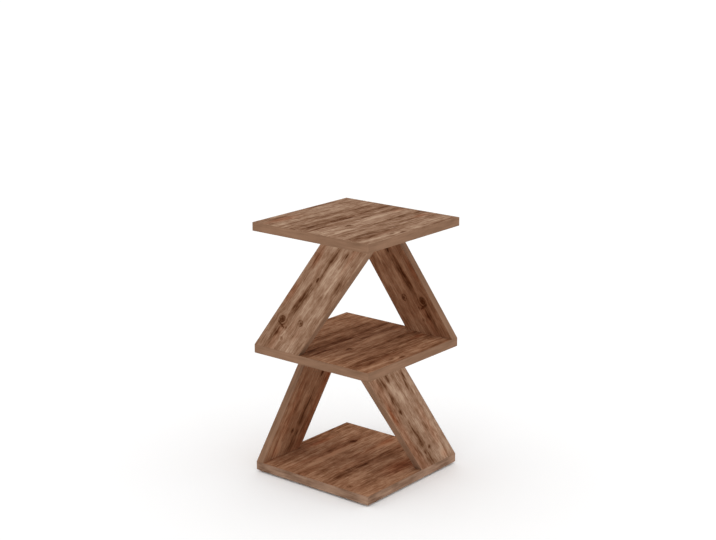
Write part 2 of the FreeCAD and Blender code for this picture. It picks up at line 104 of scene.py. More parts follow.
class TreeKind(Enum):
    """Kinds of node tree."""

    SHADER = "ShaderNodeTree"
    GEOMETRY = "GeometryNodeTree"


class Blend(Enum):
    """Ways in which one colour lies on another."""

    COVER = "MIX"
    TINT = "MULTIPLY"
    SOFT_LIGHT = "SOFT_LIGHT"


class Core(Enum):
    """What shows on the sides of a printed piece that are square to its print."""

    CHIPBOARD = "chipboard"
    NONE = "none"


class ShelfSide(Enum):
    """Sides of a shelf that carry an edge band."""

    FRONT = "front"
    RIGHT = "right"
    BACK = "back"
    LEFT = "left"

    @property
    def along(self) -> Vector:
        """The way that the side's band runs."""
        return RIGHT if self in (ShelfSide.FRONT, ShelfSide.BACK) else BACK


class PanelEdge(Enum):
    """Leaning edges of a panel that carry a band."""

    CORNER = "corner"
    INNER = "inner"


def screen_colour(tone: Screen) -> tuple[float, float, float, float]:
    """Turns red, green and blue in screen values into the linear colour that sockets take."""
    linear = Color([value / SCREEN_WHITE for value in tone]).from_srgb_to_scene_linear()
    return (*linear, FULL)


@dataclass(frozen=True)
class Ease:
    """Eased step: where it starts and ends, and the result before and after it."""

    start: float
    end: float
    before: float
    after: float


@dataclass(frozen=True)
class GrainLayer:
    """Noise that is drawn out along the grain: its counts per metre each way, and its weight."""

    across: float
    along: float
    weight: float


FADE_OUT = Ease(0.0, 1.0, 1.0, 0.0)


class Graph:
    """Node tree under construction, with short ways to add and join nodes."""

    STEP_INPUTS = ("From Min", "From Max", "To Min", "To Max")

    def __init__(self, tree: NodeTree) -> None:
        """Keeps the tree that the nodes go to."""
        self.tree = tree

    def feed(self, socket: NodeSocket, source: Feed) -> None:
        """Joins an input to another node's output, or sets its value.

        Args:
            socket: The input.
            source: An output socket, or the value.
        """
        if isinstance(source, NodeSocket):
            self.tree.links.new(source, socket)
        else:
            socket.default_value = source

    def add(self, kind: str, feeds: Mapping[str | int, Feed] | None = None, **settings: object) -> Node:
        """Adds a node.

        Args:
            kind: Type name of the node.
            feeds: Values or sockets for its inputs, by name or number.
            settings: Properties of the node.

        Returns:
            The new node.
        """
        node = self.tree.nodes.new(kind)
        for name, value in settings.items():
            setattr(node, name, value)
        for key, source in (feeds or {}).items():
            self.feed(node.inputs[key], source)
        return node

    def place(self, group: NodeTree, feeds: Mapping[str, Feed]) -> NodeOutputs:
        """Places a shader group, feeds its inputs by name and gives its outputs."""
        return self.add("ShaderNodeGroup", feeds, node_tree=group).outputs

    def math(self, operation: str, *sources: Feed) -> NodeSocket:
        """Adds one sum of values and gives its result."""
        return self.add("ShaderNodeMath", dict(enumerate(sources)), operation=operation).outputs[0]

    def vector(self, operation: str, *sources: Feed) -> NodeSocket:
        """Adds one sum of vectors and gives its result, a value where the sum makes one."""
        node = self.add("ShaderNodeVectorMath", dict(enumerate(sources)), operation=operation)
        return next(output for output in node.outputs if output.enabled)

    def combine(self, x: Feed, y: Feed, z: Feed) -> NodeSocket:
        """Makes a vector of three values."""
        return self.add("ShaderNodeCombineXYZ", {"X": x, "Y": y, "Z": z}).outputs[0]

    def split(self, vector: NodeSocket) -> list[NodeSocket]:
        """Gives the three values of a vector."""
        return list(self.add("ShaderNodeSeparateXYZ", {"Vector": vector}).outputs)

    def ease(self, value: Feed, step: Ease) -> NodeSocket:
        """Follows an eased step and gives the eased value."""
        feeds = {"Value": value, **dict(zip(self.STEP_INPUTS, astuple(step)))}
        return self.add("ShaderNodeMapRange", feeds, interpolation_type="SMOOTHSTEP").outputs["Result"]

    def sway(self, value: Feed, noise: Feed, weight: Feed) -> NodeSocket:
        """Moves a value up and down with a noise from 0 to 1, as far as the weight says."""
        return self.math("MULTIPLY_ADD", self.math("SUBTRACT", noise, MIDDLE), weight, value)

    def mix(self, share: Feed, first: Feed, second: Feed, blend: Blend = Blend.COVER) -> NodeSocket:
        """Mixes two colours.

        Args:
            share: How much of the second colour there is.
            first: The first colour.
            second: The second colour.
            blend: How the second colour lies on the first.

        Returns:
            The mixed colour.
        """
        node = self.add("ShaderNodeMix", {"Factor": share}, data_type="RGBA", blend_type=blend.value)
        colours = [socket for socket in node.inputs if socket.identifier in ("A_Color", "B_Color")]
        for socket, colour in zip(colours, (first, second)):
            self.feed(socket, colour)
        return next(socket for socket in node.outputs if socket.identifier == "Result_Color")

    def ramp(self, value: Feed, stops: Sequence[tuple[float, Screen]]) -> NodeSocket:
        """Turns a value into a colour.

        Args:
            value: What is read, from 0 to 1.
            stops: Places on the ramp and their colours, in order.

        Returns:
            The colour.
        """
        node = self.add("ShaderNodeValToRGB", {"Fac": value})
        elements = node.color_ramp.elements
        while len(elements) < len(stops):
            elements.new(MIDDLE)
        for element, (place, tone) in zip(elements, stops):
            element.position = place
            element.color = screen_colour(tone)
        return node.outputs["Color"]


class GroupGraph(Graph):
    """Node group under construction, with its named inputs and outputs."""

    def __init__(self, name: str, inputs: Mapping[str, Kind], outputs: Mapping[str, Kind],
                 tree_kind: TreeKind = TreeKind.SHADER) -> None:
        """Makes an empty group.

        Args:
            name: Name of the group.
            inputs: Types of its inputs by name.
            outputs: Types of its outputs by name.
            tree_kind: Kind of tree.
        """
        super().__init__(bpy.data.node_groups.new(name, tree_kind.value))
        for way, sockets in (("INPUT", inputs), ("OUTPUT", outputs)):
            for socket_name, kind in sockets.items():
                self.tree.interface.new_socket(socket_name, in_out=way, socket_type=kind.value)
        self.inputs = self.add("NodeGroupInput").outputs
        self.outputs = self.add("NodeGroupOutput").inputs

    def give(self, **results: Feed) -> NodeTree:
        """Joins results to the group's outputs.

        Args:
            results: Sockets or values by the outputs' names.

        Returns:
            The finished group.
        """
        for name, source in results.items():
            self.feed(self.outputs[name], source)
        return self.tree


@dataclass(frozen=True)
class GrainFrame:
    """Where a pattern lies on a piece: its start, and the ways across and along its grain."""

    start: Vector
    across: Vector
    along: Vector

    @property
    def normal(self) -> Vector:
        """Direction square to the patterned face."""
        return self.across.cross(self.along)

    def read(self, graph: Graph) -> NodeSocket:
        """Adds the nodes that read a point of the piece across, along and through the grain.

        Args:
            graph: Where the nodes go.

        Returns:
            The point's vector.
        """
        turn = Matrix((self.across, self.along, self.normal))
        coordinates = graph.add("ShaderNodeTexCoord").outputs["Object"]
        feeds = {"Vector": coordinates, "Location": -(turn @ self.start), "Rotation": turn.to_euler()}
        return graph.add("ShaderNodeMapping", feeds).outputs["Vector"]


@dataclass(frozen=True)
class FibreEffect:
    """Noise that is drawn out along the grain, with counts per metre each way."""

    detail: float = 3.0
    roughness: float = 0.55

    def build(self) -> NodeTree:
        """Builds the group.

        Returns:
            The group.
        """
        counts = {name: Kind.VALUE for name in ("Across", "Along", "Through", "Seed")}
        graph = GroupGraph("Fibres", {"Vector": Kind.VECTOR, **counts}, {"Value": Kind.VALUE})
        source = graph.inputs
        scale = graph.combine(source["Across"], source["Along"], source["Through"])
        drawn_out = graph.vector("MULTIPLY", source["Vector"], scale)
        moved = graph.vector("ADD", drawn_out, graph.combine(0.0, 0.0, source["Seed"]))
        feeds = {"Vector": moved, "Scale": FULL, "Detail": self.detail, "Roughness": self.roughness}
        return graph.give(Value=graph.add("ShaderNodeTexNoise", feeds).outputs["Fac"])


class MarkGraph(GroupGraph):
    """Group of one mark of the print, with the place and size of the mark among its inputs."""

    INPUTS = {
        "Vector": Kind.VECTOR,
        "Place": Kind.VECTOR,
        "Half Width": Kind.VALUE,
        "Half Length": Kind.VALUE,
        "Strength": Kind.VALUE,
    }

    def __init__(self, name: str, *outputs: str) -> None:
        """Starts the group and reads how far a point lies from the mark.

        Args:
            name: Name of the group.
            outputs: Names of its outputs, which are values.
        """
        super().__init__(name, self.INPUTS, {output: Kind.VALUE for output in outputs})
        source = self.inputs
        self.away = self.vector("SUBTRACT", source["Vector"], source["Place"])
        reach = self.combine(source["Half Width"], source["Half Length"], FULL)
        # The depth inside the board doesn't count.
        self.span = self.vector("MULTIPLY", self.vector("DIVIDE", self.away, reach), RIGHT + BACK)
        self.distance = self.vector("LENGTH", self.span)

    def scale(self, shade: NodeSocket) -> NodeSocket:
        """Scales a shade by the mark's strength."""
        return self.math("MULTIPLY", shade, self.inputs["Strength"])


@dataclass(frozen=True)
class StreakEffect:
    """Streak along the grain, strongest in its middle."""

    fading: Ease = FADE_OUT

    def build(self) -> NodeTree:
        """Builds the group."""
        graph = MarkGraph("Streak", "Shade")
        return graph.give(Shade=graph.scale(graph.ease(graph.distance, self.fading)))


@dataclass(frozen=True)
class KnotEffect:
    """Knot with a dark core, rings and a broken rim, which bends the grain aside.

    Distances are in the knot's own half sizes. ring_pace is the ripple's turn per half size, in radians.
    """

    wobble: float = 0.9
    wobble_scale: float = 1.7
    wobble_detail: float = 2.0
    core: Ease = Ease(0.15, 0.6, 1.0, 0.0)
    ring_pace: float = 16.0
    ring_fading: Ease = Ease(0.4, 1.5, 0.7, 0.0)
    rim_distance: float = 0.95
    rim: Ease = Ease(0.0, 0.4, 0.9, 0.0)
    rim_breaks: Ease = Ease(0.4, 0.6, 0.4, 1.0)
    bending: Ease = Ease(0.3, 3.0, -0.8, 0.0)

    def build(self) -> NodeTree:
        """Builds the group.

        Returns:
            The group, which gives the shade and how far the grain bends across.
        """
        graph = MarkGraph("Knot", "Shade", "Bend")
        feeds = {"Vector": graph.span, "Scale": self.wobble_scale, "Detail": self.wobble_detail}
        noise = graph.add("ShaderNodeTexNoise", feeds).outputs["Fac"]
        distance = graph.sway(graph.distance, noise, self.wobble)
        wave = graph.math("SINE", graph.math("MULTIPLY", distance, self.ring_pace))
        ripple = graph.math("MULTIPLY_ADD", wave, MIDDLE, MIDDLE)
        rings = graph.math("MULTIPLY", ripple, graph.ease(distance, self.ring_fading))
        from_rim = graph.math("ABSOLUTE", graph.math("SUBTRACT", distance, self.rim_distance))
        rim = graph.math("MULTIPLY", graph.ease(from_rim, self.rim), graph.ease(noise, self.rim_breaks))
        shade = graph.math("MAXIMUM", graph.ease(distance, self.core), graph.math("MAXIMUM", rings, rim))
        bend = graph.math("MULTIPLY", graph.split(graph.away)[0], graph.ease(distance, self.bending))
        return graph.give(Shade=graph.scale(shade), Bend=bend)


@dataclass(frozen=True)
class ChipboardEffect:
    """Pressed chips of a board's core, which its bores and bare ends show."""

    chips_per_metre: float = 420.0
    flattening: tuple[float, float, float] = (1.0, 0.6, 2.2)
    tones: tuple[tuple[float, Screen], ...] = (
        (0.0, (128, 98, 66)),
        (0.5, (178, 146, 104)),
        (1.0, (214, 188, 148)),
    )

    def build(self) -> NodeTree:
        """Builds the group.

        Returns:
            The group.
        """
        graph = GroupGraph("Chipboard", {"Vector": Kind.VECTOR}, {"Color": Kind.COLOUR})
        flat = graph.vector("MULTIPLY", graph.inputs["Vector"], self.flattening)
        chips = graph.add("ShaderNodeTexVoronoi", {"Vector": flat, "Scale": self.chips_per_metre})
        chip_tone = graph.split(chips.outputs["Color"])[0]
        return graph.give(Color=graph.ramp(chip_tone, self.tones))


@dataclass(frozen=True)
class HandlingEffect:
    """Faint patches that hands and wiping leave in a surface's gloss."""

    patches_per_metre: float = 18.0
    detail: float = 4.0

    def build(self) -> NodeTree:
        """Builds the group.

        Returns:
            The group.
        """
        inputs = {"Vector": Kind.VECTOR, "Roughness": Kind.VALUE, "Spread": Kind.VALUE}
        graph = GroupGraph("Handling", inputs, {"Roughness": Kind.VALUE})
        source = graph.inputs
        feeds = {"Vector": source["Vector"], "Scale": self.patches_per_metre, "Detail": self.detail}
        noise = graph.add("ShaderNodeTexNoise", feeds).outputs["Fac"]
        return graph.give(Roughness=graph.sway(source["Roughness"], noise, source["Spread"]))


@dataclass(frozen=True)
class GlueLineEffect:
    """Hairline where a board's face ends at its edge bands."""

    fading: Ease = FADE_OUT

    def build(self) -> NodeTree:
        """Builds the group.

        Returns:
            The group.
        """
        sizes = {name: Kind.VALUE for name in ("Width", "Length", "Line")}
        graph = GroupGraph("Glue line", {"Vector": Kind.VECTOR, **sizes}, {"Share": Kind.VALUE})
        source = graph.inputs
        across, along, _ = graph.split(source["Vector"])
        rooms = [graph.math("MINIMUM", place, graph.math("SUBTRACT", size, place))
                 for place, size in ((across, source["Width"]), (along, source["Length"]))]
        lines = graph.math("DIVIDE", graph.math("MINIMUM", *rooms), source["Line"])
        return graph.give(Share=graph.ease(lines, self.fading))


class Effects:
    """Shader groups that more than one material uses, each built once."""

    def __init__(self) -> None:
        """Builds every group."""
        self.fibres = FibreEffect().build()
        self.streak = StreakEffect().build()
        self.knot = KnotEffect().build()
        self.chipboard = ChipboardEffect().build()
        self.handling = HandlingEffect().build()
        self.glue_line = GlueLineEffect().build()


def new_material(name: str) -> tuple[Material, Graph, Node]:
    """Starts a material.

    Args:
        name: Name of the material.

    Returns:
        The material, its graph and its shader node.
    """
    material = bpy.data.materials.new(name)
    material.use_nodes = True
    return material, Graph(material.node_tree), material.node_tree.nodes["Principled BSDF"]


@dataclass(frozen=True)
class Surface:
    """Gloss and fine relief of a finish."""

    roughness: float
    relief: float
    specular: float = 0.02
    metallic: float = 0.0
    patchiness: float = 0.25
    relief_strength: float = 0.6

    def apply(self, graph: Graph, shader: Node, point: NodeSocket,
              height: NodeSocket, effects: Effects) -> None:
        """Sets a shader's gloss, metal and relief.

        Args:
            graph: The material's graph.
            shader: Its shader node.
            point: The point that patterns read.
            height: Height of the relief, from 0 to 1.
            effects: The shared groups.
        """
        feeds = {"Vector": point, "Roughness": self.roughness, "Spread": self.patchiness}
        graph.feed(shader.inputs["Roughness"], graph.place(effects.handling, feeds)["Roughness"])
        bump = {"Height": height, "Strength": self.relief_strength, "Distance": self.relief}
        graph.feed(shader.inputs["Normal"], graph.add("ShaderNodeBump", bump).outputs["Normal"])
        shader.inputs["Metallic"].default_value = self.metallic
        shader.inputs["Specular IOR Level"].default_value = self.specular


@dataclass(frozen=True)
class Mark:
    """Streak, knot or patch of a print.

    across and along are shares of the board, from the corner where its grain starts. The half sizes are
    in millimetres. strength is how far the mark changes the print, below 0 where it lightens it.
    """

    across: float
    along: float
    half_width: float
    half_length: float
    strength: float


@dataclass(frozen=True)
class PrintArea:
    """Area of the wood print: its own noise and tone, the habit of its grain, and its marks.

    contrast, stretch and wander are how strong, how drawn out and how wavy the grain is, as shares of the
    print's usual grain.
    """

    name: str
    seed: float
    middle_tone: float
    contrast: float
    stretch: float
    wander: float
    knots: tuple[Mark, ...]
    streaks: tuple[Mark, ...]
    warm_patches: tuple[Mark, ...]


@dataclass(frozen=True)
class Board:
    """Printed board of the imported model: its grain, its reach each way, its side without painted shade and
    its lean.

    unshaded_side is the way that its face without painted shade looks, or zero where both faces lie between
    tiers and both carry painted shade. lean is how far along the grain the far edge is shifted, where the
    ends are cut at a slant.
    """

    grain: GrainFrame
    width: float
    length: float
    unshaded_side: Vector
    lean: float = 0.0

    OUT_OF_REACH = 2.0

    @classmethod
    def read_shelf(cls, label: str, unshaded_side: Vector) -> "Board":
        """Reads a shelf's node, whose grain runs from front to back."""
        low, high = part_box(label)
        return cls(GrainFrame(low, RIGHT, BACK), high.x - low.x, high.y - low.y, unshaded_side)

    @classmethod
    def read_panel(cls, node: Object, heading: Vector, inward: Vector) -> "Board":
        """Reads a leaning panel, whose grain runs up its slope.

        Args:
            node: The panel's node.
            heading: The way that the panel leans, level.
            inward: The way to the table's middle, level.

        Returns:
            The board.
        """
        low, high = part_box(node.name)
        points = [vertex.co for vertex in node.data.vertices]
        foot = [point.dot(heading) for point in points if math.isclose(point.z, low.z, abs_tol=MILLIMETRE)]
        head = [point.dot(heading) for point in points if math.isclose(point.z, high.z, abs_tol=MILLIMETRE)]
        slope = heading * (min(head) - min(foot)) + UP * (high.z - low.z)
        along = slope.normalized()
        across = (heading - along * heading.dot(along)).normalized()
        start = heading * min(foot) + inward * ((low + high) * MIDDLE).dot(inward) + UP * low.z
        run = max(foot) - min(foot)
        return cls(GrainFrame(start, across, along), run * heading.dot(across), slope.length, -inward,
                   run * heading.dot(along))

    @property
    def banded_length(self) -> float:
        """Length between end bands, or one out of reach where the slanted ends have no bands."""
        return self.length * self.OUT_OF_REACH if self.lean else self.length

    def place(self, mark: Mark) -> dict[str, Feed]:
        """Gives the values that a mark's group takes on this board.

        Args:
            mark: The mark.

        Returns:
            Values by the group's input names.
        """
        along = mark.across * self.lean + mark.along * self.length
        return {
            "Place": (mark.across * self.width, along, 0.0),
            "Half Width": mark.half_width * MILLIMETRE,
            "Half Length": mark.half_length * MILLIMETRE,
            "Strength": mark.strength,
        }


class PrintGraph(GroupGraph):
    """Group of one area's print, which reads a point in the grain frame of a board cut from that area."""

    SEED_STEP = 1.37

    def __init__(self, area: PrintArea, board: Board, effects: Effects) -> None:
        """Starts the group.

        Args:
            area: The area and its marks.
            board: A board that is cut from it.
            effects: The shared groups.
        """
        super().__init__(f"Print of {area.name}", {"Vector": Kind.VECTOR},
                         {"Color": Kind.COLOUR, "Height": Kind.VALUE})
        self.area = area
        self.board = board
        self.effects = effects
        self.layers = itertools.count()
        self.point = self.inputs["Vector"]

    def noise(self, layer: GrainLayer) -> NodeSocket:
        """Adds a layer of drawn-out noise with a seed of its own.

        Args:
            layer: The layer.

        Returns:
            The noise, from 0 to 1.
        """
        feeds = {"Vector": self.point, "Across": layer.across, "Along": layer.along / self.area.stretch,
                 "Seed": self.area.seed + next(self.layers) * self.SEED_STEP}
        return self.place(self.effects.fibres, feeds)["Value"]

    def shift(self, distance: NodeSocket) -> None:
        """Shifts the point that later layers read across the grain."""
        self.point = self.vector("ADD", self.point, self.combine(distance, 0.0, 0.0))

    def add_knots(self) -> Feed:
        """Adds the area's knots, each of which bends the grain that passes it.

        Returns:
            Their shades added up.
        """
        total = 0.0
        for mark in self.area.knots:
            knot = self.place(self.effects.knot, {"Vector": self.point, **self.board.place(mark)})
            self.shift(knot["Bend"])
            total = self.math("ADD", total, knot["Shade"])
        return total

    def add_streaks(self, marks: Sequence[Mark], point: NodeSocket) -> Feed:
        """Adds streaks.

        Args:
            marks: The streaks.
            point: The point that they read.

        Returns:
            Their shades added up.
        """
        total = 0.0
        for mark in marks:
            streak = self.place(self.effects.streak, {"Vector": point, **self.board.place(mark)})
            total = self.math("ADD", total, streak["Shade"])
        return total


@dataclass(frozen=True)
class WoodPrint:
    """Matt wood print on both faces of a chipboard, darkened by a painted shade tint on faces between tiers.

    Tones go from 0 to 1 along the ramp. A layer's weight is how far it moves the tone, or for the drifts
    and the fray how far it moves the grain, in metres.
    """

    tones: tuple[tuple[float, Screen], ...] = (
        (0.00, (72, 39, 20)),
        (0.25, (101, 68, 47)),
        (0.50, (131, 98, 76)),
        (0.75, (153, 122, 100)),
        (1.00, (178, 149, 126)),
    )
    # Painted shade: a warm, darker tint that multiplies the print on faces between tiers.
    painted_shade_tint: Screen = (255, 233, 216)
    warm_tone: Screen = (172, 104, 62)
    glue_tone: Screen = (84, 56, 40)
    glue_line: float = 0.00025
    drifts: tuple[GrainLayer, ...] = (GrainLayer(7.0, 3.0, 0.022), GrainLayer(40.0, 20.0, 0.012))
    fray: GrainLayer = GrainLayer(260.0, 8.0, 0.022)
    grain: tuple[GrainLayer, ...] = (
        GrainLayer(26.0, 2.5, 0.70),
        GrainLayer(50.0, 36.0, 0.45),
        GrainLayer(60.0, 5.0, 0.60),
        GrainLayer(110.0, 8.0, 0.50),
        GrainLayer(130.0, 90.0, 0.55),
        GrainLayer(260.0, 15.0, 0.75),
        GrainLayer(180.0, 55.0, 0.60),
        GrainLayer(420.0, 110.0, 0.70),
    )
    lines: GrainLayer = GrainLayer(720.0, 22.0, 0.85)
    line_relief: float = 0.5
    raggedness: GrainLayer = GrainLayer(380.0, 24.0, 1.10)
    pores: GrainLayer = GrainLayer(1600.0, 75.0, 0.10)
    pore_relief: float = 0.6
    warmth: GrainLayer = GrainLayer(30.0, 6.0, 0.30)
    streak_lightening: Ease = Ease(-0.6, 0.0, 0.30, 0.0)
    streak_darkening: Ease = Ease(0.0, 0.85, 0.0, 0.60)
    pore_edge: Ease = Ease(0.60, 0.72, 0.0, 1.0)
    warm_edge: Ease = Ease(0.52, 0.75, 0.0, 1.0)
    face_limit: float = math.cos(math.pi / 4)
    surface: Surface = Surface(roughness=0.8, relief=0.00015, specular=0.008)

    def build_area(self, area: PrintArea, board: Board, effects: Effects) -> NodeTree:
        """Builds the print of one area as a group.

        Args:
            area: The area and its marks.
            board: A board that is cut from it.
            effects: The shared groups.

        Returns:
            The group, which gives the print's colour and relief.
        """
        graph = PrintGraph(area, board, effects)
        for layer in self.drifts:
            graph.shift(graph.sway(0.0, graph.noise(layer), layer.weight * area.wander))
        knots = graph.add_knots()
        frayed = graph.combine(0.0, graph.sway(0.0, graph.noise(self.fray), self.fray.weight), 0.0)
        frayed_point = graph.vector("ADD", graph.point, frayed)
        streaks = graph.add_streaks(area.streaks, frayed_point)

        tone = graph.math("ADD", graph.ease(streaks, self.streak_lightening), area.middle_tone)
        for layer in self.grain:
            tone = graph.sway(tone, graph.noise(layer), layer.weight * area.contrast)
        lines = graph.noise(self.lines)
        tone = graph.sway(tone, lines, self.lines.weight)
        ragged = graph.sway(streaks, graph.noise(self.raggedness), self.raggedness.weight)
        ragged = graph.sway(ragged, lines, self.lines.weight)
        tone = graph.math("SUBTRACT", tone, graph.ease(ragged, self.streak_darkening))
        tone = graph.math("SUBTRACT", tone, knots)
        pores = graph.ease(graph.noise(self.pores), self.pore_edge)
        tone = graph.math("MULTIPLY_ADD", pores, -self.pores.weight, tone)

        patches = graph.add_streaks(area.warm_patches, frayed_point)
        warm = graph.ease(graph.noise(self.warmth), self.warm_edge)
        warmth = graph.math("MULTIPLY_ADD", warm, self.warmth.weight, patches)
        plain = graph.ramp(tone, self.tones)
        colour = graph.mix(warmth, plain, screen_colour(self.warm_tone), Blend.SOFT_LIGHT)
        raised = graph.math("MULTIPLY", lines, self.line_relief)
        return graph.give(Color=colour, Height=graph.math("MULTIPLY_ADD", pores, -self.pore_relief, raised))

    def make(self, name: str, board: Board, area_print: NodeTree, effects: Effects, core: Core) -> Material:
        """Makes the material of a board, or of the caps that match it, with painted shade on faces between
        tiers.

        Args:
            name: Name of the material.
            board: The board.
            area_print: The group of its area of print.
            effects: The shared groups.
            core: What shows on sides that are square to the print.

        Returns:
            The material.
        """
        material, graph, shader = new_material(name)
        point = board.grain.read(graph)
        face = graph.place(area_print, {"Vector": point})
        glue = graph.place(effects.glue_line, {
            "Vector": point, "Width": board.width, "Length": board.banded_length, "Line": self.glue_line})
        colour = graph.mix(glue["Share"], face["Color"], screen_colour(self.glue_tone))
        # Painted shade: faces that don't look towards the board's unshaded side get the painted shade tint.
        # These are the faces between tiers and the caps on them.
        normal = graph.add("ShaderNodeNewGeometry").outputs["True Normal"]
        towards_unshaded = graph.vector("DOT_PRODUCT", normal, board.unshaded_side)
        unshaded_face = graph.math("GREATER_THAN", towards_unshaded, self.face_limit)
        painted_shade_colour = graph.mix(FULL, colour, screen_colour(self.painted_shade_tint), Blend.TINT)
        colour = graph.mix(unshaded_face, painted_shade_colour, colour)
        if core is Core.CHIPBOARD:
            facing = graph.math("ABSOLUTE", graph.vector("DOT_PRODUCT", normal, board.grain.normal))
            on_face = graph.math("GREATER_THAN", facing, self.face_limit)
            chips = graph.place(effects.chipboard, {"Vector": point})
            colour = graph.mix(on_face, chips["Color"], colour)
        graph.feed(shader.inputs["Base Color"], colour)
        self.surface.apply(graph, shader, point, face["Height"], effects)
        return material


@dataclass(frozen=True)
class GrainedFinish:
    """Plain surface with faint grain one way, such as an edge band, raw wood or plated metal."""

    light: Screen
    dark: Screen
    grain: GrainLayer
    clouds: GrainLayer
    surface: Surface

    def make(self, name: str, frame: GrainFrame, effects: Effects) -> Material:
        """Makes the material.

        Args:
            name: Name of the material.
            frame: The way of the grain.
            effects: The shared groups.

        Returns:
            The material.
        """
        material, graph, shader = new_material(name)
        point = frame.read(graph)
        share = MIDDLE
        for layer in (self.clouds, self.grain):
            # The layer's count along the grain serves as its seed too.
            feeds = {"Vector": point, "Across": layer.across, "Along": layer.along, "Through": layer.across,
                     "Seed": layer.along}
            noise = graph.place(effects.fibres, feeds)["Value"]
            share = graph.sway(share, noise, layer.weight)
        colour = graph.mix(share, screen_colour(self.dark), screen_colour(self.light))
        graph.feed(shader.inputs["Base Color"], colour)
        self.surface.apply(graph, shader, point, noise, effects)
        return material


EDGE_BAND = GrainedFinish(
    light=(149, 115, 92),
    dark=(117, 88, 68),
    grain=GrainLayer(300.0, 12.0, 1.0),
    clouds=GrainLayer(50.0, 14.0, 1.6),
    surface=Surface(roughness=0.7, relief=0.00006),
)
FIGURED_BAND = GrainedFinish(
    light=(170, 138, 116),
    dark=(106, 78, 60),
    grain=GrainLayer(300.0, 16.0, 1.0),
    clouds=GrainLayer(60.0, 18.0, 1.9),
    surface=Surface(roughness=0.7, relief=0.00006),
)
DOWEL_WOOD = GrainedFinish(
    light=(214, 176, 128),
    dark=(176, 134, 88),
    grain=GrainLayer(900.0, 40.0, 2.0),
    clouds=GrainLayer(120.0, 12.0, 1.0),
    surface=Surface(roughness=0.7, relief=0.0001, specular=0.3),
)
PLATED_STEEL = GrainedFinish(
    light=(206, 204, 198),
    dark=(168, 166, 160),
    grain=GrainLayer(1400.0, 1400.0, 1.5),
    clouds=GrainLayer(90.0, 90.0, 1.0),
    surface=Surface(roughness=0.32, relief=0.00002, specular=0.5, metallic=1.0),
)
CAST_ZINC = GrainedFinish(
    light=(178, 180, 182),
    dark=(138, 140, 143),
    grain=GrainLayer(700.0, 700.0, 1.5),
    clouds=GrainLayer(90.0, 90.0, 1.0),
    surface=Surface(roughness=0.5, relief=0.00006, specular=0.5, metallic=1.0),
)
GLIDE_PLASTIC = GrainedFinish(
    light=(66, 53, 48),
    dark=(48, 38, 34),
    grain=GrainLayer(1200.0, 1200.0, 1.5),
    clouds=GrainLayer(150.0, 150.0, 1.0),
    surface=Surface(roughness=0.6, relief=0.00004, specular=0.3),
)


class Workshop:
    """What every sub-assembly draws on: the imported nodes, the shared effects and the prints made so far."""

    def __init__(self, nodes: Mapping[str, Object]) -> None:
        """Keeps the nodes and builds the shared effects.

        Args:
            nodes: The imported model's nodes by name.
        """
        self.nodes = nodes
        self.effects = Effects()
        self.wood_print = WoodPrint()
        self.area_prints: dict[str, NodeTree] = {}

    def cut_print(self, name: str, board: Board, area: PrintArea, core: Core) -> Material:
        """Makes the printed material of a board or its caps, and builds its area's print the first time.

        Args:
            name: Name of the material.
            board: The board.
            area: The area of print that the board is cut from.
            core: What shows on sides that are square to the print.

        Returns:
            The material.
        """
        if area.name not in self.area_prints:
            self.area_prints[area.name] = self.wood_print.build_area(area, board, self.effects)
        return self.wood_print.make(name, board, self.area_prints[area.name], self.effects, core)

    def dress(self, label: str, material: Material) -> Object:
        """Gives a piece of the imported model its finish.

        Args:
            label: The piece's node.
            material: The finish.

        Returns:
            The dressed piece.
        """
        for slot in self.nodes[label].material_slots:
            slot.material = material
        return self.nodes[label]

    def finish(self, label: str, finish: GrainedFinish, frame: GrainFrame) -> Object:
        """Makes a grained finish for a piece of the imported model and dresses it."""
        return self.dress(label, finish.make(f"{label}_finish", frame, self.effects))


def put_in_scene(name: str, data: ID) -> Object:
    """Puts a new object into the scene.

    Args:
        name: Name of the object.
        data: Its mesh, light or camera.

    Returns:
        The object.
    """
    item = bpy.data.objects.new(name, data)
    bpy.context.scene.collection.objects.link(item)
    return item


class RowOfCopies:
    """Geometry tree that sets turned copies of a shape in a row and gives them a finish."""

    INPUTS = {
        "Shape": Kind.SHAPE,
        "Count": Kind.COUNT,
        "First Place": Kind.VECTOR,
        "Step": Kind.VECTOR,
        "Turn": Kind.TURN,
        "Finish": Kind.FINISH,
    }

    def __init__(self) -> None:
        """Builds the tree."""
        graph = GroupGraph("Row of copies", self.INPUTS, {"Row": Kind.SHAPE}, TreeKind.GEOMETRY)
        source = graph.inputs
        line = graph.add("GeometryNodeMeshLine", {
            "Count": source["Count"], "Start Location": source["First Place"], "Offset": source["Step"]})
        copies = graph.add("GeometryNodeInstanceOnPoints", {
            "Points": line.outputs["Mesh"], "Instance": source["Shape"], "Rotation": source["Turn"]})
        solid = graph.add("GeometryNodeRealizeInstances", {"Geometry": copies.outputs["Instances"]})
        finished = graph.add("GeometryNodeSetMaterial", {
            "Geometry": solid.outputs["Geometry"], "Material": source["Finish"]})
        self.tree = graph.give(Row=finished.outputs["Geometry"])

    def make(self, name: str, shape: Mesh, values: Mapping[str, object]) -> Object:
        """Runs the tree on a shape and keeps the result as a plain piece.

        Args:
            name: Name of the piece.
            shape: Mesh that is copied.
            values: Values for the tree's other inputs by name.

        Returns:
            The piece.
        """
        # The shape has the finish too, or the piece would keep an empty first material slot.
        shape.materials.append(values["Finish"])
        piece = put_in_scene(name, shape)
        modifier = piece.modifiers.new("copies", "NODES")
        modifier.node_group = self.tree
        for item in self.tree.interface.items_tree:
            if item.name in values:
                modifier[item.identifier] = values[item.name]
        evaluated = piece.evaluated_get(bpy.context.evaluated_depsgraph_get())
        mesh = bpy.data.meshes.new_from_object(evaluated)
        piece.modifiers.clear()
        piece.data = mesh
        return piece


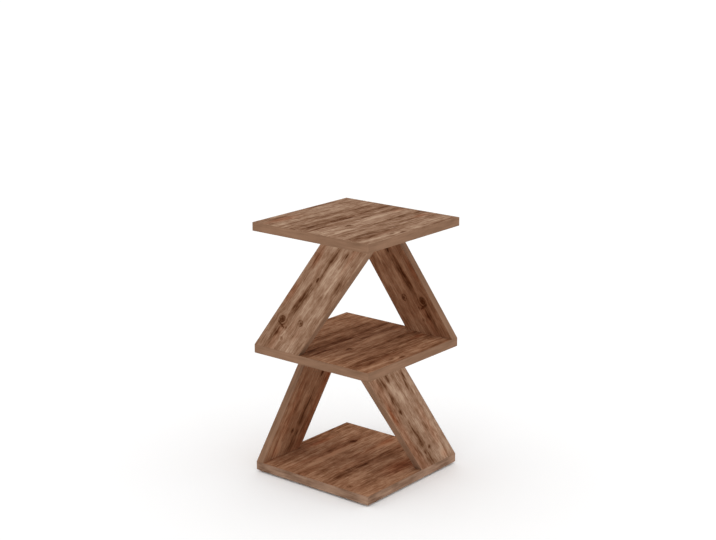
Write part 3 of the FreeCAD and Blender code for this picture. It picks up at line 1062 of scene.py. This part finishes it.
@dataclass(frozen=True)
class CamCap:
    """Thin round cap that covers a cam."""

    radius: float = 0.00905
    thickness: float = 0.0005
    rounding: float = 0.00025
    rounding_steps: int = 4
    sides: int = 48
    closeness: float = 0.000001

    def outline(self) -> list[tuple[float, float]]:
        """Gives the radius and height of each point of the cap's half section.

        Returns:
            The points, from the middle of the back round to the middle of the face.
        """
        turns = [math.pi / 2 * step / self.rounding_steps for step in range(self.rounding_steps + 1)]
        rim = [(self.radius - self.rounding * (1 - math.cos(turn)),
                self.thickness - self.rounding * (1 - math.sin(turn))) for turn in turns]
        return [(0.0, 0.0), (self.radius, 0.0), *rim, (0.0, self.thickness)]

    def build(self) -> Mesh:
        """Turns the half section about the upright axis.

        Returns:
            The closed mesh, with its back on the origin and its face up.
        """
        shape = bmesh.new()
        points = [shape.verts.new((radius, 0.0, height)) for radius, height in self.outline()]
        edges = [shape.edges.new(pair) for pair in zip(points, points[1:])]
        bmesh.ops.spin(shape, geom=points + edges, axis=UP, angle=math.tau, steps=self.sides, use_merge=True)
        bmesh.ops.remove_doubles(shape, verts=shape.verts, dist=self.closeness)
        bmesh.ops.recalc_face_normals(shape, faces=shape.faces)
        mesh = bpy.data.meshes.new("cam_cap")
        shape.to_mesh(mesh)
        shape.free()
        return mesh


@dataclass
class Shelf:
    """One square shelf: a printed board and four edge bands.

    unshaded_side is the way that the board's face without painted shade looks, or zero where both faces carry
    painted shade.
    """

    label: str
    area: PrintArea
    band: GrainedFinish
    unshaded_side: Vector

    def build(self, workshop: Workshop) -> list[Object]:
        """Dresses the board and its bands.

        Args:
            workshop: What the shelf draws on.

        Returns:
            The dressed pieces.
        """
        board = Board.read_shelf(self.label, self.unshaded_side)
        material = workshop.cut_print(f"{self.label}_print", board, self.area, Core.CHIPBOARD)
        pieces = [workshop.dress(self.label, material)]
        for side in ShelfSide:
            band = f"{self.label}_{side.value}_band"
            low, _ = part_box(band)
            pieces.append(workshop.finish(band, self.band, GrainFrame(low, UP, side.along)))
        return pieces


@dataclass
class LeaningPanel:
    """One leaning panel: a printed board, two edge bands and the two caps over its cams.

    heading is the way that the panel leans and inward is the way to the table's middle. joint_reach is
    how far its joints lie from the table's middle, and cam_reach how far its cams lie from its ends.
    """

    label: str
    area: PrintArea
    heading: Vector
    inward: Vector
    joint_reach: float = 0.078
    cam_reach: float = 0.034
    cap: CamCap = CamCap()
    caps: int = 2

    def build(self, workshop: Workshop, row: RowOfCopies) -> list[Object]:
        """Dresses the board and its bands, and builds its caps.

        Args:
            workshop: What the panel draws on.
            row: The tree that sets the caps in a row.

        Returns:
            The dressed pieces.
        """
        board = Board.read_panel(workshop.nodes[self.label], self.heading, self.inward)
        material = workshop.cut_print(f"{self.label}_print", board, self.area, Core.CHIPBOARD)
        pieces = [workshop.dress(self.label, material)]
        frame = GrainFrame(board.grain.start, self.inward, board.grain.along)
        for edge in PanelEdge:
            pieces.append(workshop.finish(f"{self.label}_{edge.value}_band", EDGE_BAND, frame))
        cap_print = workshop.cut_print(f"{self.label}_cap_print", board, self.area, Core.NONE)
        return [*pieces, self.build_caps(cap_print, row)]

    def build_caps(self, material: Material, row: RowOfCopies) -> Object:
        """Builds the caps, whose print runs on from the panel's.

        Args:
            material: The caps' finish.
            row: The tree that sets them in a row.

        Returns:
            The piece that holds both caps.
        """
        low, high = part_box(self.label)
        face = self.inward * max(low.dot(self.inward), high.dot(self.inward))
        foot = face - self.heading * self.joint_reach + UP * (low.z + self.cam_reach)
        head = face + self.heading * self.joint_reach + UP * (high.z - self.cam_reach)
        caps = row.make(f"{self.label}_cam_caps", self.cap.build(), {
            "Count": self.caps,
            "First Place": foot,
            "Step": head - foot,
            "Turn": self.inward.to_track_quat("Z", "Y").to_euler(),
            "Finish": material,
        })
        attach(caps, BODY)
        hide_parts("cam_caps")
        return caps


@dataclass
class Hardware:
    """Dowels, bolts and cams inside the joints, and the nailed glides underneath."""

    finishes: tuple[tuple[str, GrainedFinish], ...] = (
        ("dowels", DOWEL_WOOD),
        ("cam_bolts", PLATED_STEEL),
        ("cam_locks", CAST_ZINC),
        ("floor_glides", GLIDE_PLASTIC),
        ("glide_nails", PLATED_STEEL),
    )

    def build(self, workshop: Workshop) -> list[Object]:
        """Dresses each kind of fastener and the glides, with their grain upright."""
        upright = GrainFrame(Vector(), RIGHT, UP)
        return [workshop.finish(label, finish, upright) for label, finish in self.finishes]


@dataclass
class Studio:
    """White floor, even white air, a broad soft lamp overhead and the photograph's viewpoint.

    Angles are in degrees, and the lens and the sensor in millimetres.
    """

    floor_radius: float = 40.0
    floor_sides: int = 96
    floor_white: tuple[float, float, float, float] = (0.98, 0.98, 0.98, FULL)
    floor_roughness: float = 1.0
    floor_specular: float = 0.0
    air_white: tuple[float, float, float, float] = (FULL, FULL, FULL, FULL)
    air_strength: float = 1.03
    lamp_strength: float = 0.18
    lamp_spread: float = 60.0
    lamp_elevation: float = 76.0
    azimuth: float = 38.9703
    elevation: float = 14.9746
    aim: tuple[float, float, float] = (0.0021, 0.0020, 0.4336)
    distance: float = 3.132
    lens: float = 76.68
    sensor_width: float = 36.0

    def build(self) -> None:
        """Builds the floor, the air, the lamp and the camera."""
        self.build_floor()
        self.build_air()
        self.build_lamp()
        self.build_camera()
        bpy.context.scene.view_settings.view_transform = "Standard"

    def direction(self, elevation: float) -> Vector:
        """Gives the direction from the table to the camera's side at an elevation."""
        turn, tilt = math.radians(self.azimuth), math.radians(elevation)
        return Vector((math.sin(turn) * math.cos(tilt), -math.cos(turn) * math.cos(tilt), math.sin(tilt)))

    def build_floor(self) -> None:
        """Lays the floor that the table stands on."""
        shape = bmesh.new()
        bmesh.ops.create_circle(shape, cap_ends=True, radius=self.floor_radius, segments=self.floor_sides)
        mesh = bpy.data.meshes.new("floor")
        shape.to_mesh(mesh)
        shape.free()
        material, _, shader = new_material("floor_white")
        shader.inputs["Base Color"].default_value = self.floor_white
        shader.inputs["Roughness"].default_value = self.floor_roughness
        shader.inputs["Specular IOR Level"].default_value = self.floor_specular
        mesh.materials.append(material)
        put_in_scene("floor", mesh)

    def build_air(self) -> None:
        """Lights the room evenly, with a plain white background."""
        world = bpy.data.worlds.new("studio_air")
        world.use_nodes = True
        bpy.context.scene.world = world
        graph = Graph(world.node_tree)
        path = graph.add("ShaderNodeLightPath").outputs
        seen = graph.math("MAXIMUM", path["Is Camera Ray"],
                          graph.math("MAXIMUM", path["Is Glossy Ray"], path["Is Transmission Ray"]))
        background = world.node_tree.nodes["Background"]
        background.inputs["Color"].default_value = self.air_white
        strength = graph.math("MULTIPLY_ADD", seen, FULL - self.air_strength, self.air_strength)
        graph.feed(background.inputs["Strength"], strength)

    def build_lamp(self) -> None:
        """Hangs the soft lamp on the camera's side."""
        lamp = bpy.data.lights.new("soft_lamp", "SUN")
        lamp.energy = self.lamp_strength
        lamp.angle = math.radians(self.lamp_spread)
        holder = put_in_scene("soft_lamp", lamp)
        holder.rotation_euler = self.direction(self.lamp_elevation).to_track_quat("Z", "Y").to_euler()

    def build_camera(self) -> None:
        """Sets up the photograph's viewpoint."""
        data = bpy.data.cameras.new("photo_camera")
        data.lens = self.lens
        data.sensor_width = self.sensor_width
        camera = put_in_scene("photo_camera", data)
        back = self.direction(self.elevation)
        camera.location = Vector(self.aim) + back * self.distance
        camera.rotation_euler = back.to_track_quat("Z", "Y").to_euler()
        bpy.context.scene.camera = camera


MAIN_PRINT = PrintArea(
    "main shelves",
    seed=10.0,
    middle_tone=0.60,
    contrast=1.15,
    stretch=2.0,
    wander=1.0,
    knots=(
        Mark(0.585, 0.335, 5, 6, 0.70),
    ),
    streaks=(
        Mark(0.410, 0.50, 17, 230, 0.30), Mark(0.415, 0.43, 12, 44, 0.26),
        Mark(0.405, 0.26, 13, 40, 0.20), Mark(0.405, 0.13, 21, 50, 0.42),
        Mark(0.420, 0.95, 10, 50, 0.22), Mark(0.825, 0.42, 16, 240, 0.40),
        Mark(0.820, 0.93, 9, 40, 0.25), Mark(0.825, 0.18, 12, 90, 0.06),
        Mark(0.775, 0.76, 13, 90, 0.44), Mark(0.740, 0.25, 6, 40, 0.20),
        Mark(0.667, 0.77, 5, 26, 0.50), Mark(0.700, 0.93, 8, 30, 0.26),
        Mark(0.285, 0.80, 13, 70, 0.34), Mark(0.250, 0.50, 20, 150, 0.16),
        Mark(0.230, 0.22, 12, 80, 0.34), Mark(0.285, 0.28, 9, 60, 0.30),
        Mark(0.915, 0.20, 10, 90, 0.24), Mark(0.575, 0.29, 9, 26, 0.36),
        Mark(0.475, 0.19, 6, 14, 0.40), Mark(0.955, 0.42, 7, 18, 0.55),
        Mark(0.930, 0.33, 7, 14, 0.50), Mark(0.050, 0.45, 8, 60, 0.20),
        Mark(0.540, 0.62, 18, 130, -0.60), Mark(0.540, 0.10, 16, 60, -0.36),
        Mark(0.540, 0.92, 18, 50, -0.30), Mark(0.655, 0.19, 16, 70, -0.50),
        Mark(0.655, 0.50, 12, 70, -0.50), Mark(0.470, 0.50, 9, 100, -0.40),
        Mark(0.900, 0.70, 14, 70, -0.15), Mark(0.110, 0.68, 28, 120, -0.55),
    ),
    warm_patches=(
        Mark(0.115, 0.20, 18, 70, 0.40), Mark(0.760, 0.87, 14, 40, 0.40),
        Mark(0.540, 0.92, 12, 40, 0.30),
    ),
)
BOTTOM_PRINT = PrintArea(
    "bottom shelf",
    seed=40.0,
    middle_tone=0.68,
    contrast=1.1,
    stretch=1.8,
    wander=1.0,
    knots=(
        Mark(0.298, 0.735, 6, 9, 0.55), Mark(0.795, 0.065, 4, 6, 0.40),
    ),
    streaks=(
        Mark(0.268, 0.80, 10, 70, 0.40), Mark(0.300, 0.72, 14, 24, 0.40),
        Mark(0.622, 0.45, 20, 230, 0.28), Mark(0.620, 0.86, 9, 26, 0.26),
        Mark(0.632, 0.41, 8, 30, 0.26), Mark(0.625, 0.17, 10, 40, 0.32),
        Mark(0.470, 0.54, 9, 40, 0.44), Mark(0.545, 0.50, 17, 60, 0.48),
        Mark(0.455, 0.22, 12, 70, 0.26), Mark(0.727, 0.71, 5, 26, 0.55),
        Mark(0.886, 0.48, 5, 34, 0.55), Mark(0.960, 0.60, 8, 60, 0.40),
        Mark(0.825, 0.60, 5, 60, 0.30), Mark(0.780, 0.35, 6, 60, 0.26),
        Mark(0.345, 0.38, 16, 120, -0.70), Mark(0.540, 0.80, 16, 70, -0.20),
        Mark(0.280, 0.18, 11, 80, -0.50), Mark(0.710, 0.20, 16, 70, -0.22),
    ),
    warm_patches=(
        Mark(0.840, 0.58, 40, 90, 0.50), Mark(0.090, 0.58, 14, 70, 0.50),
        Mark(0.500, 0.88, 20, 50, 0.35),
    ),
)
UPPER_PRINT = PrintArea(
    "upper panels",
    seed=70.0,
    middle_tone=0.63,
    contrast=0.8,
    stretch=1.5,
    wander=0.6,
    knots=(
        Mark(0.635, 0.286, 6.5, 7, 0.62), Mark(0.225, 0.290, 6.5, 7.5, 0.62),
        Mark(0.450, 0.115, 3.5, 4, 0.40),
    ),
    streaks=(
        Mark(0.420, 0.910, 12, 50, 0.40), Mark(0.395, 0.740, 12, 54, 0.34),
        Mark(0.345, 0.560, 15, 56, 0.42), Mark(0.310, 0.420, 15, 50, 0.38),
        Mark(0.240, 0.240, 16, 50, 0.40), Mark(0.235, 0.060, 16, 46, 0.40),
        Mark(0.130, 0.870, 13, 60, 0.36), Mark(0.270, 0.900, 11, 50, 0.26),
        Mark(0.070, 0.340, 8, 60, 0.24), Mark(0.390, 0.690, 4, 9, 0.80),
        Mark(0.405, 0.220, 4, 6, 0.75), Mark(0.310, 0.226, 22, 4, 0.56),
        Mark(0.290, 0.155, 12, 18, 0.30), Mark(0.640, 0.960, 4, 22, 0.70),
        Mark(0.880, 0.660, 6, 40, 0.56), Mark(0.880, 0.420, 9, 34, -0.50),
        Mark(0.610, 0.250, 11, 26, 0.24), Mark(0.860, 0.220, 6, 36, 0.26),
        Mark(0.545, 0.800, 11, 80, -0.55), Mark(0.710, 0.740, 14, 90, -0.55),
        Mark(0.530, 0.440, 12, 50, -0.45), Mark(0.450, 0.130, 9, 50, -0.55),
        Mark(0.740, 0.070, 10, 36, -0.36),
    ),
    warm_patches=(
        Mark(0.120, 0.880, 12, 40, 0.35), Mark(0.060, 0.550, 10, 50, 0.40),
    ),
)
LOWER_PRINT = PrintArea(
    "lower panels",
    seed=100.0,
    middle_tone=0.645,
    contrast=0.8,
    stretch=1.5,
    wander=0.6,
    knots=(
        Mark(0.500, 0.190, 3.5, 4.5, 0.46),
    ),
    streaks=(
        Mark(0.755, 0.940, 18, 48, 0.52), Mark(0.695, 0.760, 15, 54, 0.44),
        Mark(0.655, 0.590, 13, 50, 0.36), Mark(0.620, 0.420, 16, 50, 0.52),
        Mark(0.610, 0.250, 14, 50, 0.44), Mark(0.605, 0.070, 18, 44, 0.54),
        Mark(0.860, 0.180, 10, 60, 0.26), Mark(0.145, 0.940, 5, 30, 0.55),
        Mark(0.540, 0.960, 6, 26, 0.85), Mark(0.215, 0.840, 6, 36, 0.65),
        Mark(0.680, 0.620, 5, 12, 0.55), Mark(0.400, 0.900, 5, 44, 0.42),
        Mark(0.330, 0.880, 5, 40, 0.42), Mark(0.290, 0.385, 7, 24, 0.42),
        Mark(0.680, 0.160, 6, 12, 0.55), Mark(0.580, 0.840, 8, 50, -0.55),
        Mark(0.320, 0.840, 11, 60, -0.40), Mark(0.465, 0.780, 10, 60, -0.55),
        Mark(0.110, 0.430, 10, 90, -0.40), Mark(0.430, 0.420, 9, 44, -0.40),
        Mark(0.300, 0.070, 12, 34, -0.55), Mark(0.200, 0.220, 9, 40, -0.36),
    ),
    warm_patches=(
        Mark(0.930, 0.620, 10, 60, 0.50), Mark(0.250, 0.060, 14, 24, 0.35),
    ),
)


def main() -> None:
    """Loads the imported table, dresses every piece, reports it and sets up the studio."""
    logging.basicConfig(level=logging.INFO, format="%(name)s %(message)s")
    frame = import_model()
    workshop = Workshop(frame["nodes"])
    row = RowOfCopies()
    shelves = (
        Shelf("top_shelf", MAIN_PRINT, EDGE_BAND, UP),
        Shelf("middle_shelf", MAIN_PRINT, EDGE_BAND, NO_UNSHADED_SIDE),
        Shelf("bottom_shelf", BOTTOM_PRINT, FIGURED_BAND, -UP),
    )
    panels = (
        LeaningPanel("upper_front_panel", UPPER_PRINT, RIGHT, BACK),
        LeaningPanel("upper_back_panel", UPPER_PRINT, -RIGHT, -BACK),
        LeaningPanel("lower_left_panel", LOWER_PRINT, BACK, RIGHT),
        LeaningPanel("lower_right_panel", LOWER_PRINT, -BACK, -RIGHT),
    )
    pieces = [piece for shelf in shelves for piece in shelf.build(workshop)]
    pieces += [piece for panel in panels for piece in panel.build(workshop, row)]
    pieces += Hardware().build(workshop)
    for piece in pieces:
        LOG.info("%s: %s, %d faces", piece.name, piece.active_material.name, len(piece.data.polygons))
    Studio().build()


if __name__ == "__main__":
    main()
